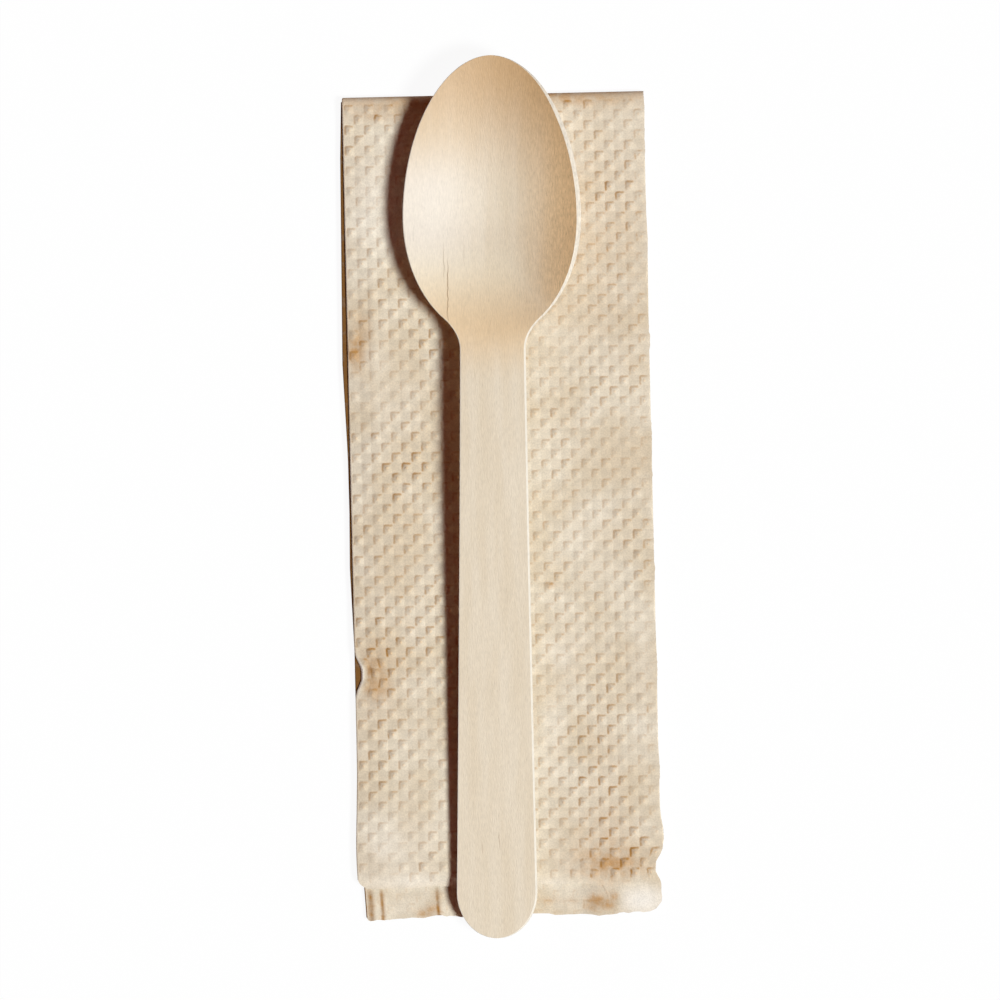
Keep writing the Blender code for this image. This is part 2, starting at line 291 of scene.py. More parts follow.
def birchMaterial(name, look, isEdge):
    material, tree = newMaterial(name)
    place = addNode(tree, "TexCoord").outputs["Object"]
    streaks = []
    for width, length, detail in (look["grain"], look["pores"], look["flecks"], look["figure"]):
        scale = (1 / width, 1 / length, 1 / length)
        drawnOut = addNode(tree, "Mapping", {}, {"Vector": place, "Scale": scale})
        streaks.append(addNode(tree, "TexNoise", {}, {
            "Vector": drawnOut, "Scale": 1.0, "Detail": detail, "Roughness": 0.6}))
    grain, pores, flecks, figure = streaks
    mottle = addNode(tree, "TexNoise", {}, {"Vector": place, "Scale": 1 / look["mottle"], "Detail": 2.0})
    split = addNode(tree, "SeparateXYZ", {}, {"Vector": place})
    x, y = split.outputs["X"], split.outputs["Y"]

    # darker towards the tip and, less, towards the neck; up the right wall, which faces away from the lamp,
    # the darker tan is painted shade
    tip = addNode(tree, "MapRange", smoothly, {0: y, **look["tipAlong"]})
    tipSide = addNode(tree, "MapRange", smoothly, {0: x, **look["tipAcross"]})
    tip = addNode(tree, "Math", times, {0: tip, 1: tipSide})
    wall = addNode(tree, "MapRange", smoothly, {0: x, **look["wallAcross"]})
    inBowl = addNode(tree, "MapRange", smoothly, {0: y, **look["wallAlong"]})
    wall = addNode(tree, "Math", times, {0: wall, 1: inBowl})
    neck = addNode(tree, "MapRange", smoothly, {0: y, **look["neckBelow"]})
    aboveNeck = addNode(tree, "MapRange", smoothly, {0: y, **look["neckAbove"]})
    neck = addNode(tree, "Math", times, {0: neck, 1: aboveNeck})
    warmed = addNode(tree, "Math", larger, {0: wall, 1: neck})
    # painted light on the left of the bowl, which faces the lamp, and paler at its low end
    paintedLightLeft = addNode(tree, "MapRange", smoothly, {0: x, **look["paintedLightAcross"]})
    for fade in look["paintedLightAlong"]:
        faded = addNode(tree, "MapRange", smoothly, {0: y, **fade})
        paintedLightLeft = addNode(tree, "Math", times, {0: paintedLightLeft, 1: faded})
    lowEnd = addNode(tree, "MapRange", smoothly, {0: x, **look["lowEndAcross"]})
    for fade in look["lowEndAlong"]:
        faded = addNode(tree, "MapRange", smoothly, {0: y, **fade})
        lowEnd = addNode(tree, "Math", times, {0: lowEnd, 1: faded})

    bands = addNode(tree, "MapRange", smoothly, {0: figure, 1: 0.3, 2: 0.7})
    body = addNode(tree, "Mix", colours, {0: bands, 6: toLinear(look["cream"]), 7: toLinear(look["pale"])})
    zones = ((paintedLightLeft, "paintedLightPale"), (lowEnd, "lowPale"), (warmed, "shadeAndNeckTan"), (tip, "tipTan"))
    for share, tint in zones:
        body = addNode(tree, "Mix", colours, {0: share, 6: body, 7: toLinear(look[tint])})
    if isEdge:
        body = addNode(tree, "Mix", colours, {0: look["edgeShare"], 6: body, 7: toLinear(look["edge"])})

    # darker and paler streaks, which show most on the right wall
    tone = addNode(tree, "MapRange", smoothly, {0: grain, 1: 0.3, 2: 0.7, 3: 0.95, 4: 1.035})
    for streak, low, high, least, most in (
        (pores, 0.60, 0.74, 1.0, 0.92), (flecks, 0.54, 0.70, 1.0, 0.95), (mottle, 0.3, 0.7, 0.985, 1.015),
    ):
        darker = addNode(tree, "MapRange", smoothly, {0: streak, 1: low, 2: high, 3: least, 4: most})
        tone = addNode(tree, "Math", times, {0: tone, 1: darker})
    contrast = addNode(tree, "Math", timesPlus, {0: wall, 1: look["wallContrast"], 2: 1.0})
    tone = addNode(tree, "Math", minus, {0: tone, 1: 1.0})
    tone = addNode(tree, "Math", timesPlus, {0: tone, 1: contrast, 2: 1.0})
    body = addNode(tree, "VectorMath", {"operation": "SCALE"}, {0: body, "Scale": tone})

    # hairline cracks along the grain, each wandering a little and fading at its ends
    bend, reach = look["crackWander"]
    wander = addNode(tree, "TexNoise", {"noise_dimensions": "1D"}, {"W": y, "Scale": 1 / bend, "Detail": 3.0})
    drift = addNode(tree, "Math", timesPlus, {0: wander, 1: reach, 2: -reach / 2})
    wandering = addNode(tree, "Math", plus, {0: x, 1: drift})
    for middle, start, end, width, dark in look["cracks"]:
        off = addNode(tree, "Math", minus, {0: wandering, 1: middle})
        off = addNode(tree, "Math", positive, {0: off})
        shown = addNode(tree, "MapRange", smoothly, {0: off, 1: 0.0, 2: width, 3: dark, 4: 0.0})
        fade = (end - start) / 3
        for low, high in ((-end, -end + fade), (-start, -start - fade)):
            faded = addNode(tree, "MapRange", smoothly, {0: y, 1: low, 2: high})
            shown = addNode(tree, "Math", times, {0: shown, 1: faded})
        body = addNode(tree, "Mix", colours, {0: shown, 6: body, 7: toLinear(look["crack"])})

    relief = addNode(tree, "Math", minus, {0: grain, 1: pores})
    bump = addNode(tree, "Bump", {}, {"Height": relief, "Strength": 0.6, "Distance": look["relief"]})
    shader = addNode(tree, "BsdfPrincipled", {}, {
        "Base Color": body, "Roughness": look["roughness"], "IOR": 1.5,
        "Specular IOR Level": 0.5, "Normal": bump,
    })
    addNode(tree, "OutputMaterial", {}, {"Surface": shader})
    return material


def makeSpoon(size, look):
    # each face comes with its material: 0 for what was pressed, 1 for the worn edge and the cut side
    faces = []
    upper, under = makeSpoonShape(size, False), makeSpoonShape(size, True)
    rows, columns = len(under), len(under[0])
    stride = columns + 2
    below = rows * stride
    for r in range(rows - 1):
        for c in range(columns - 1):
            a, b = r * stride + c, below + r * columns + c
            faces.append(((a, a + stride, a + stride + 1, a + 1), 0))
            faces.append(((b, b + 1, b + columns + 1, b + columns), 0))
        for c, foot in ((0, columns), (columns - 1, columns + 1)):
            a, f, b = r * stride + c, r * stride + foot, below + r * columns + c
            faces.append(((a, f, f + stride, a + stride), 1))
            faces.append(((f, b, b + columns, f + stride), 1))
    mesh = bpy.data.meshes.new("pressed_birch_spoon")
    points = [point for line in upper + under for point in line]
    mesh.from_pydata(points, [], [corners for corners, _ in faces])
    for face, (_, edge) in zip(mesh.polygons, faces):
        face.material_index = edge
    # the rows close to one line at the tip and at the handle's end, where the two feet stay apart
    shell = bmesh.new()
    shell.from_mesh(mesh)
    bmesh.ops.remove_doubles(shell, verts=shell.verts, dist=0.000002)
    bmesh.ops.recalc_face_normals(shell, faces=shell.faces)
    shell.to_mesh(mesh)
    shell.free()
    spoon = bpy.data.objects.new("pressed_birch_spoon", mesh)
    bpy.context.scene.collection.objects.link(spoon)
    rounding = spoon.modifiers.new("sanded edge", "BEVEL")
    rounding.width = size["edgeRounding"]
    rounding.segments = size["edgeSegments"]
    rounding.limit_method = "ANGLE"
    rounding.angle_limit = size["edgeAngle"]
    rounding.material = 1
    spoon.data.materials.append(birchMaterial("birchVeneerHotPressed", look, False))
    spoon.data.materials.append(birchMaterial("birchVeneerCutEdge", look, True))
    spoon.data.shade_smooth()
    return spoon


spoon = makeSpoon(spoonSizes, birchLook)
print("spoon shaped")


# The napkin, one sheet folded zigzag and then once across
napkinSizes = {
    "panels": 4,
    "panelWidth": 0.0546,
    "upperLength": 0.1423,
    "lowerExtra": 5.5 * mm,
    "paper": 0.14 * mm,
    "pitch": 0.35 * mm,  # from one layer to the next
    "solidPaper": 0.2 * mm,  # the solid's own paper, which sets the height of its layers
    # the lower left folds stand out beside the upper one, at these distances from the cross fold
    "overhangAt": (0.0, 0.010, 0.047, 0.068, 0.084, 0.099),
    "overhang": (0.2 * mm, 0.55 * mm, 1.0 * mm, 0.25 * mm, 0.5 * mm, 0.0),
    "lowerInset": 1.15 * mm,  # how far the lower half's left edge runs inwards by its open end
    "flapWidth": 8.6 * mm,
    "flapLength": 5.4 * mm,
    "leftCorner": 1.5 * mm,  # how far the upper end draws back at its corners
    "rightCorner": 1.7 * mm,
    "cornerReach": 1.9 * mm,
    "stripCorner": 3 * mm,  # of the lower half, under the flap
    "stripCornerReach": 4 * mm,
    "stripRetreat": 1.4 * mm,
    "cutWave": 0.22 * mm,  # how far the cut side edge waves
    "tornWave": 0.35 * mm,  # how far the torn ends wave
    "longWave": 19.5 * mm,  # lengths of the two waves that make an edge uneven
    "shortWave": 8.6 * mm,
    "tears": (1.3 * mm, 0.6 * mm),  # the finest unevenness of the torn and cut edges
    "nextLayer": 20 * mm,  # how far along the waves the next layer's edge starts
    "notchAt": 0.1034,  # the crushed place on the left fold, from the cross fold
    "notchSpread": 2.7 * mm,
    "notchDepth": 1.15 * mm,
    "notchReach": 7.2 * mm,
    "notchSink": 0.12 * mm,
    "notchRim": (0.37 * mm, 0.20 * mm, 0.24 * mm),  # from the fold, half width, height
    "bulgeAt": 0.1337,
    "bulge": 0.65 * mm,
    "bulgeSpread": 3 * mm,
    "leftBulgeAt": 0.1355,
    "leftBulge": 0.5 * mm,
    "leftBulgeSpread": 9 * mm,
    "biteAt": 0.1395,
    "bite": 1.2 * mm,
    "biteSpread": 2.0 * mm,
    "edgeReach": 4 * mm,  # how far in the bulge and the bite draw the paper
    "square": 1.81 * mm,
    "row": 1.86 * mm,
    "emboss": 0.35 * mm,
    "inset": 0.04,  # of a square, from its border to the foot of the raised part
    "bank": 0.21,  # of a square, the sloping side of the raised part
    "unevenness": 0.05 * mm,
    "unevenScale": 0.9 * mm,
    "pressScale": (11 * mm, 15 * mm),  # how soon the pressing changes, across and along
    "swell": 0.2 * mm,
    "swellScale": (15 * mm, 22 * mm),
    "underBowl": ((27 * mm, 12 * mm), (22 * mm, 16 * mm)),  # lies flat: middle and reach across, then along
    "underHandle": (26 * mm, 9 * mm),
    "endDrop": 0.72 * mm,  # how far the upper end lies down on the strip
    "endReach": 2.6 * mm,
    "endRetreat": 0.75 * mm,  # each layer below ends this much earlier
    "hiddenRetreat": 0.4 * mm,  # each layer under the torn strip ends this much earlier
    "drawBack": 4 * mm,  # the layers below do so over this much more than the upper panel's end
    "flapSag": 0.08 * mm,
    "flapSeam": 0.10 * mm,
    "flapBed": 0.53 * mm,  # how far the strip below the flap puffs up to it
    "flatFold": 0.35,  # the long folds are pressed this much flatter than the middle of the stack
    "foldReach": 5 * mm,
    "foldSteps": 6,
    "crossFoldSteps": 10,
    "endRows": 6,
    "hiddenColumns": 4,
    "stripColumns": 48,
    "rimColumn": 0.2 * mm,  # one more column this far from the left fold
    "lowerFoldShade": 1.8,  # how dark the lower layers' folds are painted on the left, painted shade under the upper fold
    # how dark the pleats' left flanks are painted, painted shade
    "pleatShade": 1.1,
    "stripPressed": 0.4,
    "turn": math.radians(1.31),
    "pastFold": 6.9 * mm,  # the spoon's tip past the cross fold
    # soft wrinkles of the upper panel: place from the left edge and the top edge, way, half length,
    # half width and height, in millimetres and degrees
    "wrinkles": (
        (4.4, 41.0, 90, 9.5, 0.40, 0.14),
        (2.3, 43.0, 90, 6.5, 1.50, -0.12),
        (1.2, 47.6, 62, 2.6, 0.35, 0.24),
        (2.0, 45.6, 50, 2.2, 0.30, 0.18),
        (0.9, 44.0, 80, 2.0, 0.30, 0.16),
        (2.6, 107.2, 25, 1.3, 0.35, 0.26),
        (3.1, 105.8, 95, 1.1, 0.32, 0.22),
        (3.3, 103.0, 140, 2.6, 0.40, 0.24),
        (5.2, 108.5, 150, 2.4, 0.45, 0.16),
        (41.4, 141.4, 110, 1.2, 0.40, 0.16),
        (7.0, 141.2, 15, 2.4, 0.5, 0.1),
        (20.0, 141.6, 170, 3.0, 0.5, 0.1),
    ),
    # pleats of the strip below, across the torn end: crest from the left fold, its width on the left
    # and on the right, height
    "pleats": ((1.5, 0.60, 0.80, 0.32), (3.4, 0.42, 0.90, 0.22), (13.7, 0.42, 1.20, 0.22)),
    # browner places: from the left edge, from the top edge, half sizes, how brown. The band along the top
    # fold, which turns away from the lamp, and the two marks left of the third pleat are painted shade, and
    # the marks by the flap's left edge are painted shadow
    "stainsAndShade": (
        (28.0, 0.6, 28.0, 1.9, 1.00),
        (5.6, 3.2, 5.0, 1.8, 0.45),
        (1.2, 46.2, 1.4, 3.2, 0.80),
        (2.6, 42.5, 1.8, 5.0, 0.35),
        (1.5, 104.8, 1.0, 2.6, 0.50),
        (3.5, 104.5, 5.0, 7.0, 0.16),
        (3.6, 103.8, 2.6, 3.4, 0.42),
        (4.0, 108.2, 2.0, 2.4, 0.36),
        (8.0, 86.0, 9.0, 20.0, 0.08),
        (10.0, 58.0, 8.0, 10.0, 0.08),
        (35.4, 89.2, 0.9, 0.5, 0.65),
        (49.0, 24.0, 8.0, 18.0, 0.17),
        (48.0, 62.0, 9.0, 22.0, 0.14),
        (44.5, 120.0, 7.0, 10.0, 0.14),
        (45.0, 134.0, 5.0, 5.0, 0.28),
        (45.5, 140.4, 6.4, 3.2, 0.85),
        (46.0, 146.0, 1.0, 1.0, 1.00),
        (45.0, 147.4, 1.3, 1.0, 1.00),
        (42.6, 146.8, 1.3, 1.0, 1.00),
        (44.0, 146.6, 3.4, 2.0, 0.22),
        (41.4, 148.0, 0.8, 0.6, 0.80),
        (38.6, 146.6, 0.7, 0.5, 0.45),
        (12.0, 147.4, 0.9, 1.0, 0.80),
        (10.9, 148.4, 1.3, 0.8, 0.90),
        (34.0, 146.5, 3.0, 0.6, 0.30),
    ),
    # where the rolls pressed deeper
    "deeper": (
        (46.0, 127.0, 7.0, 22.0, 1.0),
        (48.0, 30.0, 6.0, 18.0, 0.4),
        (10.0, 60.0, 9.0, 10.0, 0.5),
        (10.0, 85.0, 9.0, 16.0, 0.7),
    ),
    # paler places, in the same way; the last is a painted highlight on the curled fold edge at the notch
    "worn": (
        (5.0, 18.0, 5.0, 10.0, 0.42),
        (36.0, 118.0, 4.0, 12.0, 0.18),
        (8.0, 136.5, 9.0, 6.0, 0.24),
        (51.0, 147.0, 4.6, 2.6, 0.90),
        (46.0, 57.0, 8.0, 8.0, 0.15),
        (46.0, 79.0, 8.0, 9.0, 0.18),
        (38.0, 100.0, 4.0, 5.0, 0.15),
        (51.5, 112.0, 3.0, 12.0, 0.18),
        (10.0, 142.5, 12.0, 1.6, 0.36),
        (34.0, 143.2, 7.0, 1.2, 0.30),
        (0.25, 104.7, 0.40, 2.6, 1.60),
    ),
}


def softPatch(x, distance, patches):
    total = 0.0
    for middle, down, halfWidth, halfLength, amount in patches:
        away = ((x / mm - middle) / halfWidth) ** 2 + ((distance / mm - down) / halfLength) ** 2
        if away < 9:
            total += amount * math.exp(-away)
    return min(1.0, total)


def makeNapkin(size):
    pitch = size["pitch"]
    foldRadius = pitch / 2
    panels, width = size["panels"], size["panelWidth"]
    square, row = size["square"], size["row"]
    upperLength = size["upperLength"]
    lowerLength = upperLength + size["lowerExtra"]
    reach = (panels - 0.5) * pitch + size["solidPaper"] / 2

    def lines(start, step, count):
        # four lines for each square: the foot and the top of each sloping side
        shares = (size["inset"], size["inset"] + size["bank"])
        shares += (1 - shares[1], 1 - shares[0])
        return [start + (n + share) * step for n in range(count) for share in shares]

    def panelColumns(panel):
        left = foldRadius
        right = width - (foldRadius if panel not in (0, panels - 1) else 0.0)
        if panel == 0:
            squares = int((right - left) / square - 0.5)
            inner = lines(left, square, squares)
            return [left, inner[0], left + size["rimColumn"], *inner[1:], (inner[-1] + right) / 2, right]
        if panel < panels - 1:
            return list(np.linspace(left, right, size["hiddenColumns"]))
        # the strip has columns at its pleats, and others between them
        pleated = {left, right}
        for crest, onLeft, onRight, _ in size["pleats"]:
            pleated |= {(crest - step * onLeft) * mm for step in (0.0, 0.45, 0.9, 1.4, 2.0)}
            pleated |= {(crest + step * onRight) * mm for step in (0.45, 0.9, 1.4)}
        pleated = {x for x in pleated if x >= left}
        even = np.linspace(left, right, size["stripColumns"])
        return sorted(pleated | {x for x in even if min(abs(x - c) for c in pleated) > 0.5 * mm})

    # across the folded sheet, from the upper panel's cut edge to the lowest panel's: x, height, panel
    folds = []
    for panel in range(panels):
        height = (panels - 1 - panel) * pitch
        columns = [(x, height, panel) for x in panelColumns(panel)]
        leftwards = panel % 2 == 0
        folds += columns[::-1] if leftwards else columns
        if panel == panels - 1:
            break
        side = -1 if leftwards else 1
        edge = folds[-1][0]
        for step in range(1, size["foldSteps"]):
            turn = math.pi * step / size["foldSteps"]
            folds.append((edge + side * foldRadius * math.sin(turn),
                          height - foldRadius * (1 - math.cos(turn)), panel + turn / math.pi))

    # along it, from the upper end round the cross fold to the lower end: distance from that fold, turn
    squares = int((upperLength - size["tornWave"]) / row - 0.2)
    regular = lines(0.0, row, squares)
    tail = list(np.linspace(regular[-1], upperLength, size["endRows"] + 1))[1:]
    ways = [(d, 0.0) for d in reversed(regular + tail)]
    ways += [(0.0, math.pi * n / size["crossFoldSteps"]) for n in range(size["crossFoldSteps"] + 1)]
    ways += [(d, math.pi) for d in np.linspace(0, upperLength - 2 * mm, 12)[1:]]
    ways += [(d, math.pi) for d in np.linspace(upperLength - 1 * mm, lowerLength, 14)]

    def ragged(distance, amount):
        longWave = math.sin(2 * math.pi * distance / size["longWave"])
        shortWave = 0.6 * math.sin(2 * math.pi * distance / size["shortWave"] + 1)
        fine, finer = (noise.noise(Vector((distance / length, amount * 9000, level)))
                       for length, level in zip(size["tears"], (0.0, 5.0)))
        return amount * ((longWave + shortWave) / 1.6 + 0.9 * fine + 0.5 * finer)

    def nearNotch(distance):
        return bell(distance - size["notchAt"], size["notchSpread"], 3)

    def sideShift(x, distance, panel, upper):
        fromLeft = min(1.0, max(0.0, 1 - x / width))
        nearRight = smoothStep(1 - (width - x) / size["edgeReach"])
        moved = 0.0
        if panel in (0, panels - 1):
            nearCut = smoothStep(1 - (width - x) / square)
            moved += ragged(distance + size["nextLayer"] * panel, size["cutWave"]) * nearCut
        bulging = bell(distance - size["bulgeAt"], size["bulgeSpread"])
        biting = bell(distance - size["biteAt"], size["biteSpread"], 3)
        moved += (size["bulge"] * bulging * (1 - biting) - size["bite"] * biting) * nearRight
        leftBulging = bell(distance - size["leftBulgeAt"], size["leftBulgeSpread"])
        moved -= size["leftBulge"] * leftBulging * fromLeft
        if panel > 1:
            moved -= float(np.interp(distance, size["overhangAt"], size["overhang"])) * fromLeft
        if not upper:
            moved += size["lowerInset"] * max(0.0, 2 * distance / lowerLength - 1) * fromLeft
        if upper and panel <= 1:
            moved += size["notchDepth"] * nearNotch(distance) * max(0.0, 1 - x / size["notchReach"])
        return moved

    def cornerCut(x, panel, upper):
        fromRight = width - x
        if not upper:
            # the flap above hides this layer's own corner
            return size["stripCorner"] * max(0.0, 1 - fromRight / (4 * mm)) ** 2
        atLeft = size["leftCorner"] * max(0.0, 1 - x / (2.0 * mm)) ** 2
        atRight = size["rightCorner"] * max(0.0, 1 - fromRight / (2.2 * mm)) ** 2
        return atLeft + atRight * max(0.0, 1 - panel)

    def endShift(x, panel, upper):
        waver = ragged(x + size["nextLayer"] * panel, size["tornWave"])
        pastFlap = size["flapWidth"] - (width - x)
        if not upper:
            hidden = size["hiddenRetreat"] * (panels - 1 - panel)
            return waver - hidden - size["stripRetreat"] * smoothStep(pastFlap / (3 * mm))
        if panel:
            return waver - size["endRetreat"] * panel
        return 0.7 * waver + size["flapLength"] * smoothStep(pastFlap / square + 1)

    seeded = np.random.default_rng(11)
    cellShares = seeded.uniform(0.7, 1.2, (97, 41))

    def pressed(x, distance):
        # how deep the rolls pressed the squares here, 1 where it is plain
        across, along = size["pressScale"]
        drift = noise.noise(Vector((x / across, distance / along, 3.0)))
        depth = 0.8 + 0.8 * drift
        depth += 0.6 * softPatch(x, distance + reach, size["deeper"])
        depth -= 0.8 * softPatch(x, distance + reach, size["worn"])
        ownShare = cellShares[int(distance / row) % 97, int(x / square) % 41]
        return min(1.5, max(0.2, depth)) * ownShare

    def wrinkled(x, distance):
        rise = 0.0
        for middle, down, way, halfLength, halfWidth, height in size["wrinkles"]:
            dx, dy = x / mm - middle, (distance + reach) / mm - down
            cosine, sine = math.cos(math.radians(way)), math.sin(math.radians(way))
            along, across = dx * cosine + dy * sine, dy * cosine - dx * sine
            if abs(along) < 2 * halfLength and abs(across) < 3 * halfWidth:
                rise += height * mm * bell(along, halfLength, 4) * bell(across, halfWidth)
        return rise

    def upperRise(x, distance):
        # the panel swells a little, but lies flat under the spoon
        (middle, half), (down, halfLength) = size["underBowl"]
        underBowl = bell(x - middle, half) * bell(distance - down, halfLength)
        middle, half = size["underHandle"]
        underHandle = bell(x - middle, half) * smoothStep((distance - 40 * mm) / (60 * mm))
        across, along = size["swellScale"]
        drift = 0.5 + noise.noise(Vector((x / across, distance / along, 9.0)))
        rise = size["swell"] * max(0.0, drift) * (1 - underBowl) * (1 - underHandle)
        rise *= smoothStep(distance / (5 * mm))
        rimAt, rimHalf, rimHeight = size["notchRim"]
        rim = rimHeight * nearNotch(distance) * bell(x - rimAt, rimHalf)
        return rise + wrinkled(x, distance) + rim

    def uneven(x, distance, level):
        scale = size["unevenScale"]
        return size["unevenness"] * noise.noise(Vector((x / scale, distance / scale, level)))

    def sheetPoint(distance, turn, x, stackHeight, panel):
        # one point of the sheet, its place in the embossing, how brown and how deeply pressed it is
        upper = turn < math.pi / 2
        end = upperLength if upper else lowerLength
        # the layers below draw back over a longer stretch, so that none doubles over
        last = regular[-1] - size["drawBack"] * min(1.0, panel) if upper else upperLength
        along = distance
        if distance > last:
            along += endShift(x, panel, upper) * (distance - last) / (end - last)
        cornerReach = size["cornerReach"] if upper else size["stripCornerReach"]
        along -= cornerCut(x, panel, upper) * max(0.0, (distance - end) / cornerReach + 1)
        across = x + sideShift(x, along, panel, upper)
        radius = foldRadius + stackHeight
        u, v = (x - foldRadius) / square, distance / row
        z = reach + radius * math.cos(turn)
        depth = 0.0
        pleatShadeSide = 0.0
        if upper:
            nearFold = (1 - smoothStep(x / size["foldReach"])) * smoothStep(distance / (6 * mm))
            z -= stackHeight * size["flatFold"] * nearFold
            if panel <= 1:
                z -= size["notchSink"] * nearNotch(distance) * (1 - smoothStep(x / (2 * mm)))
            if panel < 1:
                flatEnd = 1 - smoothStep((along - upperLength + 2 * mm) / (2 * mm))
                z += upperRise(x, distance) * (1 - panel) * flatEnd
            if panel == 0 and 0 < distance <= regular[-1]:
                inside = smoothStep((width - x) / square) * smoothStep((upperLength - distance) / row)
                depth = pressed(x, distance) * min(1.0, inside * 3)
                isRaised = (math.floor(u) + math.floor(v)) % 2 == 0
                onTop = min(u % 1, 1 - u % 1, v % 1, 1 - v % 1) > size["inset"] + size["bank"] / 2
                z += size["emboss"] * depth * (1.0 if isRaised and onTop else 0.0)
                across += uneven(x, distance, 21.0)
                along += uneven(x, distance, 31.0)
            drop = size["endDrop"] * smoothStep(1 - (upperLength - along) / size["endReach"])
            z -= drop * stackHeight / (pitch * (panels - 1))
            if panel < 1 and along > upperLength:
                # the flap sags onto the strip below
                sag = size["flapSag"] * smoothStep((along - upperLength) / (1.6 * mm))
                seam = size["flapSeam"] * bell(width - x - size["flapWidth"], 1.2 * mm)
                z -= (sag + seam) * (1 - panel)
        elif panel == panels - 1:
            depth = size["stripPressed"]
            if turn > 3:
                onStrip = smoothStep((distance - upperLength + 0.4 * mm) / (1.6 * mm))
                for crest, onLeft, onRight, height in size["pleats"]:
                    off = x / mm - crest
                    z += height * mm * bell(off, onLeft if off < 0 else onRight) * onStrip
                    # painted shade on each pleat's left flank, which faces away from the lamp
                    pleatShadeSide += size["pleatShade"] * bell(off + 0.9 * onLeft, 0.8 * onLeft) * onStrip
                underFlap = smoothStep((distance - upperLength + 0.8 * mm) / (0.8 * mm))
                z += size["flapBed"] * smoothStep((x - width + 15 * mm) / (4 * mm)) * underFlap
        down = along + reach if turn in (0.0, math.pi) else 0.0
        paperTintHere = softPatch(x, down, size["stainsAndShade"]) - softPatch(x, down, size["worn"]) + pleatShadeSide
        # the lower layers' folds on the left are painted dark, painted shade under the upper fold
        if 1 <= panel < panels - 1 and x < width / 2:
            paperTintHere = size["lowerFoldShade"]
        y = -reach - along + radius * math.sin(turn)
        return (across - width / 2, y, z), (u, v), paperTintHere, depth

    made = [[sheetPoint(*way, *fold) for fold in folds] for way in ways]

    # hidden panels keep every sixteenth row, and every fourth where the notch and the bite show them
    fine = len(panelColumns(0)) + 2

    def isKept(r, distance, turn):
        isSeen = min(abs(distance - size["notchAt"]), abs(distance - size["biteAt"])) < 9 * mm
        return turn > 0 or r < len(tail) or r % (4 if isSeen else 16) == 0

    kept = [r for r, (distance, turn) in enumerate(ways) if isKept(r, distance, turn)]
    order, faces = {}, []

    def corner(r, c):
        return order.setdefault((r, c), len(order))

    for c in range(len(folds) - 1):
        rowsHere = range(len(ways)) if c < fine else kept
        for r, nextRow in zip(rowsHere[:-1], rowsHere[1:]):
            face = [corner(r, c), corner(r, c + 1), corner(nextRow, c + 1), corner(nextRow, c)]
            # where coarse rows meet fine ones, the face takes in the points between
            face += [corner(m, c) for m in range(nextRow - 1, r, -1)] if c == fine else []
            faces.append(face)
    points, places, paperTint, depths = zip(*(made[r][c] for r, c in order))
    mesh = bpy.data.meshes.new("folded_kraft_napkin")
    mesh.from_pydata(points, [], faces)
    mesh.validate()
    napkin = bpy.data.objects.new("folded_kraft_napkin", mesh)
    bpy.context.scene.collection.objects.link(napkin)
    layer = mesh.uv_layers.new(name="sheet")
    for loop in mesh.loops:
        layer.data[loop.index].uv = places[loop.vertex_index]
    for name, values in (("paperTint", paperTint), ("pressed", depths)):
        layer = mesh.attributes.new(name, "FLOAT", "POINT")
        layer.data.foreach_set("value", values)
    mesh.shade_smooth()
    paper = napkin.modifiers.new("paper", "SOLIDIFY")
    paper.thickness = size["paper"]
    paper.offset = 0.0
    cut = napkin.modifiers.new("crisp cut edges", "EDGE_SPLIT")
    cut.split_angle = math.radians(75)
    return napkin


# Unbleached kraft tissue, embossed and dry creped: warm tan with paler worn places, dead matt, faintly
# fibrous. The top and left sides of each raised square, which face away from the lamp, are painted browner as
# painted shade, and each has a pin mark in its middle.
tissueLook = {
    "tan": "#d9c8af",
    "pale": "#e3d6c2",
    "worn": "#f8f1e7",
    "brown": "#b07a2e",
    # painted shade on the top and left sides of the raised squares
    "bankShade": "#b2844c",
    "bankShadeShare": 0.5,
    # painted shade on the lower folds at the left
    "foldShade": "#5a3f2c",
    "brownBankShare": 0.9,  # the painted bank shade is darker where the paper is browner
    # painted shade in the lower plain squares between the raised ones
    "flat": "#cfc3b0",
    "flatShare": 0.3,
    "pin": "#ecc79a",
    "pinWarmth": 0.4,
    "ruffle": 0.16,  # how far a square's border wanders, of a square
    "patch": 9 * mm,
    "cloud": 1.6 * mm,
    "fibre": 0.30 * mm,  # real ones are about 0.02 mm thick, and are drawn this coarse so that they show
    "bankShadeAt": 0.13,  # of a square, from its border
    "bankShadeReach": 0.22,
    "ruffleScale": 0.7 * mm,
    "pinAt": (0.54, 0.54, 0.0),
    "pinShare": 0.24,
    "pinHeight": 1.4,  # beside the fibres' own height
    "relief": 0.1 * mm,
    "foldShadeFrom": 1.1,  # tint above this is painted shade on the lower folds
    "roughness": 0.95,
}


